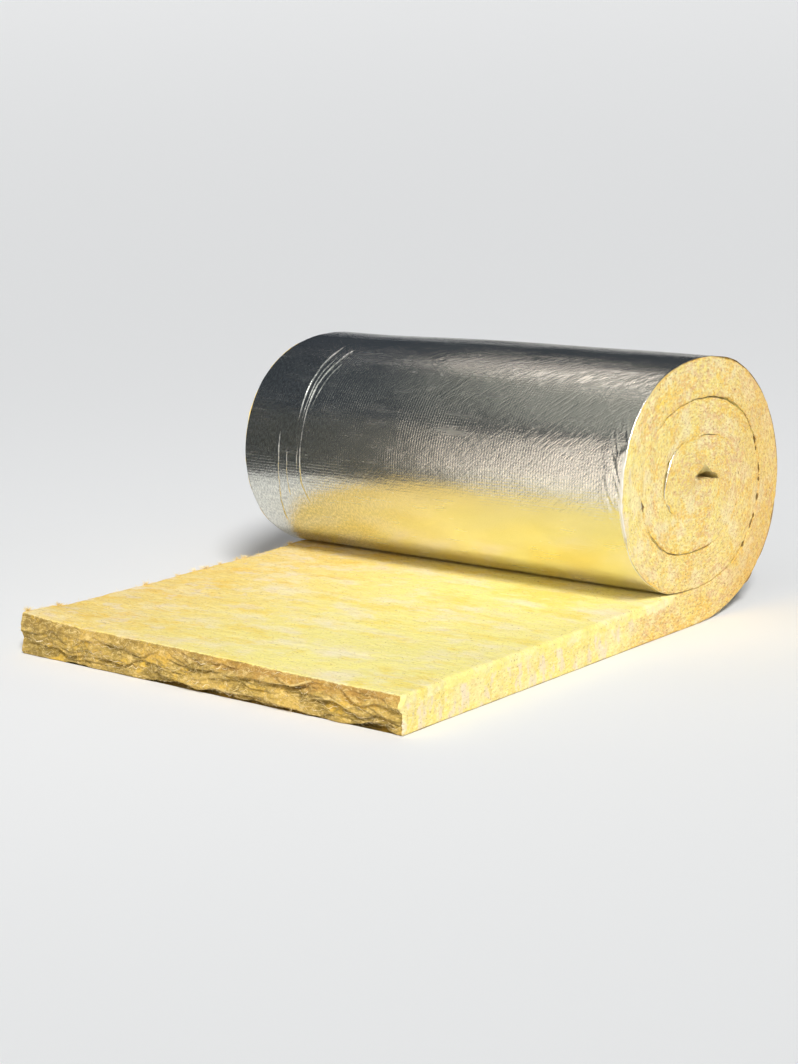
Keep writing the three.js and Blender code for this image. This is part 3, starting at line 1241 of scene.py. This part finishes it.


# %% [markdown]
# ### Wool
# The blanket is yellow from its binder, paler and pinkish where the binder is thin, and tan where it
# has pooled. Its fibres lie along the width of the blanket. Stretched noise gives that grain without
# a picture: one noise drawn out along the width for the fibres, one softer for the mat. Broad blots
# differ in hue, and the finest speckle differs only in lightness, as it does in real wool.
#
# One material serves both wool pieces. What was stored on their meshes tells it where the wool was
# cut, where it is torn, and where the seams' lips and nicks get painted shade.

# %% Colours of the wool
wool_yellow = tint(255, 242, 146)
wool_amber = tint(250, 215, 120)
wool_cream = tint(254, 241, 204)
wool_pink = tint(231, 186, 138)
wool_saffron = tint(250, 206, 84)
wool_lemon = tint(253, 229, 132)
wool_light = tint(255, 242, 172)
wool_shade = tint(200, 154, 88)
wool_tan = tint(226, 170, 84)
wool_straw = tint(253, 228, 104)
wool_dusk = tint(222, 202, 116)
wool_blush = tint(246, 226, 196)
wool_rust = tint(186, 134, 66)
wool_brown = tint(150, 104, 60)
wool_khaki = tint(214, 180, 96)
wool_gold = tint(238, 194, 76)
wool_rose = tint(246, 216, 140)
wool_olive = tint(146, 122, 56)
wool_umber = tint(104, 78, 36)
print("darkest wool as light:", [round(v, 3) for v in wool_umber[:3]])

# %% [markdown]
# A cut shows the inside of the mat. Where the blade crossed clots of binder there are small dabs,
# pink or tan, with fluff between them. The finest tan specks and pale fluff are partly painted shade
# and highlight of the mat's small lumps. They lie along the layers, so their noise is laid out along
# the ribbon and not along the straight axes of the part.

# %% Colour of the cut ends
def cut_colour(place, grain):
    """A cut end shows the binder unevenly: pink dabs, saffron along the seams, and fine tan and cream
    speckle, partly painted shade and highlight.
    """
    across = place.axis(1)
    height = place.axis(2)
    free_end = 1 - across.between(0.02, 0.16)
    cream = cloud(place + (3.1, 0, 0), 17, (1, 1, 1), 3, 0.58).between(0.44, 0.62)
    colour = (cream * 0.55).mix(wool_lemon, wool_cream)
    saffron = cloud(place + (7.7, 0, 0), 22, (1, 1, 1), 3, 0.60)
    colour = (saffron.between(0.50, 0.60) * (0.75 - 0.50 * free_end)).mix(colour, wool_saffron)
    colour = (free_end * 0.40).mix(colour, wool_yellow)
    depth = grain.axis(1)
    seam = (1 - (depth * (wool_thickness - depth)).between(0.00006, 0.00055)) * (1 - free_end)
    colour = (seam * saffron.between(0.38, 0.50) * 0.85).mix(colour, wool_saffron)
    # Dabs lie along the layers; the roll's back has more of them than its front.
    back = across.between(0.36, 0.58)
    clusters = cloud(place + (0, 0, 4.4), 11, (1, 1, 1), 4, 0.60).between(0.42, 0.60)
    low = 1 - height.between(0.02, 0.20)
    dabs = cloud(grain, 70, (0.60, 1, 1), 4, 0.62).between(0.38, 0.66)
    colour = (dabs * (0.14 + 0.72 * clusters + 0.36 * back) * (1 - 0.70 * free_end)).mix(colour, wool_pink)
    # Fine tan specks and pale fluff: partly the fibres' own tone, partly painted shade and highlight of the
    # mat's small lumps.
    tan = cloud(grain + (0, 6.1, 0), 190, (0.5, 1, 1), 5, 0.75).between(0.48, 0.62)
    colour = (tan * (0.62 + 0.22 * back + 0.2 * low) * (1 - 0.75 * free_end)).mix(colour, wool_shade)
    fluff_and_highlight = cloud(grain + (2.7, 0, 0), 200, (0.5, 1, 1), 4, 0.75).between(0.50, 0.60)
    colour = (fluff_and_highlight * 0.85).mix(colour, wool_light)
    colour = ((back * 0.30 + low * 0.12 + low * back * 0.24) * (1 - free_end)).mix(colour, wool_tan)
    # The cut left pale tufts down the side of the free end.
    tufts = cloud(place + (0, 8.8, 0), 34, (1, 1, 0.5), 5, 0.6).between(0.50, 0.62)
    colour = (tufts * free_end * 0.8).mix(colour, wool_blush)
    dots = (cloud(grain + (0, 4.2, 0), 210, (0.8, 1, 1), 2, 0.6) + free_end * 0.02).between(0.62, 0.69)
    return (dots * (0.8 - 0.4 * free_end)).mix(colour, wool_brown)


# %% [markdown]
# The bare face was pressed flat while the binder set. All its fibres lie down, mostly along the
# width, and the binder shows through them as soft blots. Towards the left it is deeper in colour.

# %% Colour of the pressed top
def flat_colour(place):
    """The pressed top: pale blots, lemon clouds, and a grain of fibres along the width."""
    warped = place + cloud(place, 9, (1, 1, 1), 2) * 0.03
    cream = cloud(warped, 12, (0.6, 1, 1), 5, 0.62).between(0.45, 0.67)
    left = 1 - place.axis(0).between(-0.5, 0.2)
    ground = (left * 0.85).mix(wool_yellow, wool_amber)
    colour = (cream * (0.85 - 0.30 * left)).mix(ground, wool_cream)
    lemon = cloud(warped + (0, 5.3, 0), 16, (0.5, 1, 1), 4, 0.62).between(0.47, 0.66)
    colour = (lemon * 0.8).mix(colour, left.mix(wool_straw, wool_saffron))
    pink = cloud(warped + (0, 9.1, 0), 22, (0.7, 1, 1), 4, 0.62).between(0.53, 0.65)
    colour = (pink * (0.15 + 0.55 * left)).mix(colour, wool_blush)
    streaks = cloud(warped, 210, (0.14, 1, 1), 6, 0.72).between(0.50, 0.70)
    colour = (streaks * (0.42 + 0.15 * left)).mix(colour, left.mix(wool_dusk, wool_shade))
    pale_streaks = cloud(warped + (0, 3.7, 0), 190, (0.14, 1, 1), 6, 0.72).between(0.48, 0.66)
    colour = (pale_streaks * (0.55 - 0.15 * left)).mix(colour, wool_light)
    dots = cloud(warped + (0, 4.2, 0), 260, (0.7, 1, 1), 2, 0.6).between(0.64, 0.70)
    return (dots * 0.6).mix(colour, wool_brown)


# %% [markdown]
# A tear opens the mat deep inside, where dust and binder make it olive and brown. The lips of its
# layers are pale with frayed fibres and a painted highlight, and the hollows under them get painted
# shade. One noise could not do both, so the colour also follows the lips and hollows that the relief
# left behind on the mesh, and is made more olive where the torn face lies deeper, also painted shade.

# %% Colour of the torn front
def torn_colour(place, deep, lip, hollow):
    """The torn front: khaki, painted shade where it lies deep and in hollows, lips partly painted highlight.
    """
    warped = place + cloud(place, 28, (1, 1, 1), 3) * 0.03
    along = place.axis(0)
    height = place.axis(2)
    # Painted shade: more olive where the torn face lies deeper; also more olive towards the left.
    shade = deep * 0.24 + (1 - along.between(-0.45, 0.20)) * 0.10
    olive = (cloud(warped, 22, (0.5, 1, 1), 6, 0.62) + shade).between(0.46, 0.74)
    colour = (olive * 0.9).mix(wool_khaki, wool_olive)
    gold = cloud(warped + (0, 5.3, 0), 30, (0.6, 1, 1), 5, 0.6)
    colour = (gold.between(0.52, 0.64) * 0.7).mix(colour, wool_gold)
    # Binder has pooled below the top edge.
    pooled = (height + (gold - 0.5) * 0.09).between(top_z - 0.034, top_z - 0.012)
    colour = (pooled * (0.12 + 0.48 * along.between(-0.2, 0.2))).mix(colour, wool_rust)
    streaks = cloud(warped, 170, (0.45, 1, 1), 6, 0.72).between(0.47, 0.64)
    colour = (streaks * 0.38).mix(colour, wool_umber)
    flecks = cloud(warped + (0, 2.2, 0), 120, (0.45, 1, 1), 6, 0.70).between(0.52, 0.62)
    colour = (flecks * 0.60).mix(colour, wool_rose)
    frayed = cloud(warped + (0, 7.2, 0), 90, (0.5, 1, 1), 4, 0.6)
    # Pale lips: frayed fibres and a painted highlight. Dark hollows under them: painted shade.
    colour = ((lip + (frayed - 0.5) * 0.8).between(0.35, 0.75) * 0.85).mix(colour, wool_rose)
    colour = ((hollow + (frayed - 0.5) * 0.6).between(0.30, 0.90) * 0.55).mix(colour, wool_umber)
    fine = cloud(place, 330, (0.5, 1, 1), 4, 0.75)
    colour = (fine.between(0.54, 0.66) * 0.35).mix(colour, wool_rose)
    return ((1 - fine.between(0.36, 0.47)) * 0.35).mix(colour, wool_umber)


# %% The wool's material
def wool_material():
    """Matt wool whose colour and relief follow what is stored on the mesh."""
    sheen = {"Sheen_Weight": 0.1, "Sheen_Roughness": 0.5, "Specular_IOR_Level": 0.1}
    material, shader, place = finish_for("mineral_wool", 0.95, **sheen)
    torn = attribute(place, "torn")
    torn = (torn + (cloud(place, 110, (0.8, 1, 1), 5, 0.7) - 0.5) * torn * 2.2).between(0.22, 0.50)
    cut = attribute(place, "cut")
    grain = attribute(place, "grain", "Vector")
    ragged = (cut + (cloud(place, 75, (1, 1, 0.6), 4, 0.65) - 0.5) * 1.1).between(0.35, 0.65)
    colour = ragged.mix(flat_colour(place), cut_colour(place, grain))
    # Painted shade on the lips of open seams and in their nicks, as umber.
    uneven = (cloud(place, 150, (1, 1, 1), 4, 0.65) - 0.5) * 0.6
    worn = (attribute(place, "worn") + uneven).between(0.30, 0.65)
    colour = (worn * 0.9).mix(colour, wool_umber)
    layers = (attribute(place, name) for name in ("deep", "lip", "hollow"))
    colour = torn.mix(colour, torn_colour(place, *layers))
    feed(colour, shader, "Base Color")
    strokes = cloud(place, 280, (0.10, 1, 1), 4, 0.65) * (1 - cut)
    stubble = cloud(grain, 130, (0.45, 1, 1), 5, 0.68) * cut
    mat = cloud(place, 60, (0.6, 1, 1), 4, 0.6)
    lumps = cloud(place + (0, 2.2, 0), 130, (0.5, 1, 1), 6, 0.68) * torn
    height = (strokes * (1 - 0.75 * torn) * 0.0030 + stubble * 0.0040) + mat * 0.0045 + lumps * 0.0050
    bumped = height.node("ShaderNodeBump", {}, "Normal", Strength=0.8, Distance=1.0, Height=height)
    feed(bumped, shader, "Normal")
    return material


wool = wool_material()
for piece in (blanket_wool, cut_ends):
    piece.data.materials.append(wool)
print("nodes in the wool's material:", len(wool.node_tree.nodes))

# %% [markdown]
# ### Loose fibres
# A single fibre holds little binder, so the wisps are paler than the mat. They could share the mat's
# material, but a pattern made for a broad face only flickers on such thin strips. So they get a
# plain finish of their own.

# %% The fibres' material
def fibre_material():
    """Pale wisps, a little yellower here and there."""
    sheen = {"Sheen_Weight": 0.1, "Specular_IOR_Level": 0.2}
    material, shader, place = finish_for("fibre", 0.8, **sheen)
    paler = cloud(place, 60, (1, 1, 1), 2).between(0.4, 0.6)
    colour = paler.mix(tint(240, 214, 142), tint(247, 230, 186))
    feed(colour, shader, "Base Color")
    return material


loose_fibres.data.materials.append(fibre_material())
print("nodes in the fibres' material:", len(loose_fibres.data.materials[0].node_tree.nodes))

# %% [markdown]
# ### Foil
# Rolled aluminium is a blurred mirror. The net of threads behind it prints through as faint squares,
# and handling leaves the surface dull in some places and bright in others. Where the sheet is folded
# round at the rims, the paper of its back shows. A grey plastic-looking shader would not do, since
# nearly all that is seen on foil is mirrored: the metal is fully metallic, and only its blur, its
# tone and its slope change from place to place.

# %% Colours and sizes of the foil
thread_pitch = 0.0064
foil_warm, foil_bright = tint(240, 234, 216), tint(246, 240, 222)
# The darker tone of these two is laid on towards the far side, as painted shade.
foil_cool, foil_shaded = tint(238, 243, 240), tint(182, 182, 176)
paper_brown, paper_white = tint(150, 118, 72), tint(232, 226, 214)
top_fades = [float(length_at(turns)) for turns in (0.48, 0.58)]
crown_from = [float(length_at(turns)) for turns in (0.505, 0.550)]
crown_to = [float(length_at(turns)) for turns in (0.600, 0.650)]
print(f"threads {thread_pitch * 1000:.1f} mm apart; the crown starts {crown_from[0]:.2f} m along the ribbon")


# %% Relief of the foil
def threads(across, wander):
    """The ridges of one set of parallel threads, where across is metres square to them."""
    wave = across * (2 * math.pi / thread_pitch) + wander
    return wave.node("ShaderNodeMath", {"operation": "SINE"}, at0=wave).between(0.4, 1.0)


def foil_bumps(ribbon, along_width, along_girth):
    """The net of threads, wrinkles and grit, as a height in metres."""
    wander = cloud(ribbon, 40, (1, 1, 1), 1) * 2.0
    shows = cloud(ribbon, 5, (1, 1, 1), 3).between(0.35, 0.65)
    net = (threads(along_width, wander) + threads(along_girth, wander)) * (0.12 + 0.88 * shows) * 0.00013
    wrinkles = cloud(ribbon, 85, (0.45, 1, 1), 5, 0.62) * 0.0007
    # Fine wrinkles run askew everywhere, most on the crown and towards the near end.
    askew = ribbon.node("ShaderNodeVectorRotate", {"rotation_type": "Z_AXIS"}, Vector=ribbon, Angle=0.75)
    crown = along_girth.between(*crown_from) * (1 - along_girth.between(*crown_to))
    crown = crown * along_width.between(-0.2, 0.1)
    worked = 0.25 + 0.75 * crown + 0.35 * along_width.between(0.1, 0.45)
    ridges = cloud(askew, 60, (0.42, 2.8, 1), 4, 0.62).between(0.46, 0.68) * worked * 0.00033
    grit = cloud(ribbon, 300, (0.7, 1, 1), 2, 0.6) * 0.00009
    return net + wrinkles + ridges + grit


# %% The foil's material
def foil_material():
    """A blurred mirror with the net and fine wrinkles in it, and paper where it is folded back."""
    material, shader, place = finish_for("aluminium_foil", 0.3, metallic=1.0)
    ribbon = attribute(place, "ribbon", "Vector")
    paper = attribute(place, "paper")
    dull = cloud(ribbon, 9, (1, 2, 1), 4, 0.6)
    scuffs = cloud(ribbon, 60, (0.15, 1, 1), 4, 0.6)
    along_width, along_girth = ribbon.axis(0), ribbon.axis(1)
    off_top = along_girth.between(*top_fades)
    roughness = 0.13 + off_top * 0.06 + dull * 0.08 + scuffs.between(0.45, 0.75) * 0.06
    # Towards the far side the foil's colour turns cooler and darker, and the threads show in its tone:
    # partly the net printing through, partly painted shade that darkens the far end.
    colour = dull.between(0.35, 0.65).mix(foil_warm, foil_bright)
    far_side = 1 - along_width.between(-0.40, 0.05)
    printed = cloud(ribbon, 330, (1, 0.35, 1), 4, 0.75).between(0.40, 0.60)
    colour = (far_side * 0.5).mix(colour, foil_cool)
    colour = (printed * (0.06 + 0.94 * far_side) * 0.9).mix(colour, foil_shaded)
    clean = cloud(ribbon, 110, (1, 1, 1), 3) * 0.5 + attribute(place, "clean") - 0.25
    paper_colour = clean.between(0.2, 0.8).mix(paper_brown, paper_white)
    feed(paper.mix(colour, paper_colour), shader, "Base Color")
    feed(1 - paper, shader, "Metallic")
    feed(roughness * (1 - paper) + paper * 0.8, shader, "Roughness")
    height = foil_bumps(ribbon, along_width, along_girth)
    bumped = height.node("ShaderNodeBump", {}, "Normal", Strength=1.0, Distance=1.0, Height=height)
    feed(bumped, shader, "Normal")
    return material


facing.data.materials.append(foil_material())
print("nodes in the foil's material:", len(facing.data.materials[0].node_tree.nodes))

# %% [markdown]
# ## Floor, light and camera
# The floor is a very wide dish that is flat round the roll. Behind the roll its rim rises past the
# horizon, so the picture has one plain, pale ground with no edge in it. A backdrop on a wall would
# do the same, but its fold would show in the foil.

# %% The floor
below_part = 0.0004


def floor_dish(flat_radius=6.0, radius=80.0, rim=6.5, rings=40, spokes=96):
    """A flat floor whose rim rises behind the roll, and half as much again to the left of it."""
    outside = np.linspace(flat_radius, radius, rings)[1:]
    distance = np.concatenate([[0.01, flat_radius / 3, flat_radius], outside])
    angle = np.linspace(0, 2 * np.pi, spokes + 1)
    rise = rim * np.clip((distance - flat_radius) / (radius - flat_radius), 0, 1) ** 2
    behind = smooth(np.cos(angle - math.radians(130)), 0.2, 0.6)
    behind = behind * (1 + 0.5 * smooth(np.cos(angle - math.radians(200)), 0.6, 0.9))
    x, y = distance[:, None] * np.cos(angle), distance[:, None] * np.sin(angle)
    # It lies a hair below the part, so that the two never share a plane.
    z = rise[:, None] * behind - below_part
    return mesh_object("floor", [np.stack([x, y, z], axis=-1)])


floor = floor_dish()
floor_finish, floor_shader, _ = finish_for("pale_floor", 0.9)
floor_shader.inputs["Base Color"].default_value = tint(242, 242, 241)
floor.data.materials.append(floor_finish)
print("floor points:", len(floor.data.vertices))

# %% [markdown]
# Foil shows only what it mirrors. Soft boxes in front of it and one behind it give it its pale bands,
# and the dark room between them gives the dark ones. The key light comes from above, from the right
# and somewhat less from the front, so the top of the blanket is lightest, the cut end comes next and
# the torn front is darkest. It is a sun lamp, because that lights a long roll evenly, and a second,
# very wide one from the front softens its shadows.

# %% The room
world = bpy.data.worlds.new("room")
bpy.context.scene.world = world
world.use_nodes = True
room_colour = (0.042, 0.051, 0.066, 1)
world.node_tree.nodes["Background"].inputs["Color"].default_value = room_colour
world.node_tree.nodes["Background"].inputs["Strength"].default_value = 1.0
print("room, as light:", room_colour[:3])


# %% A soft box and a sun
def soft_box(name, place, towards, size, radiance, colour=(1, 1, 1), spread=180):
    """A rectangular lamp whose face is as bright as a surface of that radiance.

    A grid in front of it can narrow its spread, in degrees, so that less of it falls on the floor.
    """
    lamp = bpy.data.lights.new(name, "AREA")
    lamp.shape = "RECTANGLE"
    lamp.size, lamp.size_y = size
    lamp.color = colour
    half_spread = math.radians(spread) / 2
    lamp.spread = 2 * half_spread
    lamp.energy = radiance * math.pi * size[0] * size[1] * (1 - half_spread / math.tan(half_spread))
    holder = bpy.data.objects.new(name, lamp)
    bpy.context.scene.collection.objects.link(holder)
    holder.visible_camera = False
    holder.location = place
    aim = mathutils.Vector(towards) - mathutils.Vector(place)
    holder.rotation_euler = aim.to_track_quat("-Z", "Y").to_euler()


def sun(name, direction, strength, spread):
    """Even light from far away, of 1 on a surface that faces it at a strength of 1."""
    lamp = bpy.data.lights.new(name, "SUN")
    lamp.energy = strength * math.pi
    lamp.angle = math.radians(spread)
    holder = bpy.data.objects.new(name, lamp)
    bpy.context.scene.collection.objects.link(holder)
    holder.rotation_euler = mathutils.Vector(direction).to_track_quat("Z", "Y").to_euler()


# %% Light the scene
sun("key", (0.562, -0.474, 0.68), 0.97, 14)
sun("wrap", (0.30, -0.80, 0.50), 0.26, 90)
soft_box("front_low", (-1.18, -2.95, 0.50), (0.1, -0.6, 0.4), (1.2, 0.8), 1.75, (1.0, 0.91, 0.88), 66)
soft_box("front_high", (-1.18, -2.95, 1.75), (0.1, -0.6, 0.6), (1.2, 1.7), 1.70, (1.0, 0.92, 0.90), 66)
soft_box("ceiling", (0.1, -0.4, 2.3), (0.1, -0.4, 0), (2.8, 2.0), 0.27, (0.95, 1.0, 0.97))
soft_box("back_box", (-1.14, 1.10, 2.66), (0.2, 0.3, 0.5), (1.00, 0.75), 1.30, (1.0, 0.95, 0.97))
print("lamps:", len(bpy.data.lights))

# %% [markdown]
# With nothing but pale floor to mirror, much of the foil would be pale. Someone who photographs metal
# stands a dark card beside it, just out of the picture, and the metal picks up its tone. This card
# starts in front of the free end's left corner and runs away to the left and back. It is there for
# the mirror alone: it throws no shadow, tints nothing near it and stays hidden from the camera.

# %% The dark card
card_foot = [(-0.53, -0.85), (-0.53, -0.66), (-1.45, 0.105)]
card_heights = [1.0, 1.0, 0.6]
card_corners = [(x, y, 0.0) for x, y in card_foot]
card_corners += [(x, y, height) for (x, y), height in zip(card_foot, card_heights)]
card_mesh = bpy.data.meshes.new("dark_card")
card_mesh.from_pydata(card_corners, [], [[0, 1, 4, 3], [1, 2, 5, 4]])
dark_card = bpy.data.objects.new("dark_card", card_mesh)
bpy.context.scene.collection.objects.link(dark_card)
dark_card.visible_camera = False
dark_card.visible_shadow = False
dark_card.visible_diffuse = False
card_finish, card_shader, _ = finish_for("dark_card", 0.9)
card_shader.inputs["Base Color"].default_value = (0.105, 0.120, 0.140, 1)
card_mesh.materials.append(card_finish)
print(f"card: {len(card_mesh.polygons)} faces, up to {max(card_heights)} m high")

# %% [markdown]
# ## The camera
# It stands nearly five metres off, in front and to the right, a little above the roll. A long lens
# keeps the blanket's edges nearly parallel. Its direction is built from three angles, and the last
# of them tips the picture by less than two degrees.

# %% The camera's place and direction
camera_place = mathutils.Vector((2.9346, -3.5011, 1.1598))
camera_degrees = (40.24, 11.945, -1.698)
camera_azimuth, camera_elevation, camera_roll = (math.radians(a) for a in camera_degrees)
back = mathutils.Vector(
    (
        math.sin(camera_azimuth) * math.cos(camera_elevation),
        -math.cos(camera_azimuth) * math.cos(camera_elevation),
        math.sin(camera_elevation),
    )
)
right = mathutils.Vector((math.cos(camera_azimuth), math.sin(camera_azimuth), 0))
up = back.cross(right)
rolled_right = math.cos(camera_roll) * right + math.sin(camera_roll) * up
rolled_up = -math.sin(camera_roll) * right + math.cos(camera_roll) * up
print("azimuth, elevation and roll in degrees:", camera_degrees)

# %% The camera
lens = bpy.data.cameras.new("camera")
lens.sensor_width = 36.0
lens.lens = 76.45
lens.clip_end = 100.0
camera = bpy.data.objects.new("camera", lens)
bpy.context.scene.collection.objects.link(camera)
frame_of_camera = mathutils.Matrix((rolled_right, rolled_up, back)).transposed().to_4x4()
camera.matrix_world = mathutils.Matrix.Translation(camera_place) @ frame_of_camera
bpy.context.scene.camera = camera
bpy.context.scene.view_settings.view_transform = "Standard"
print(f"lens {lens.lens:.2f} mm at {camera_place.length:.2f} m from the part's origin")
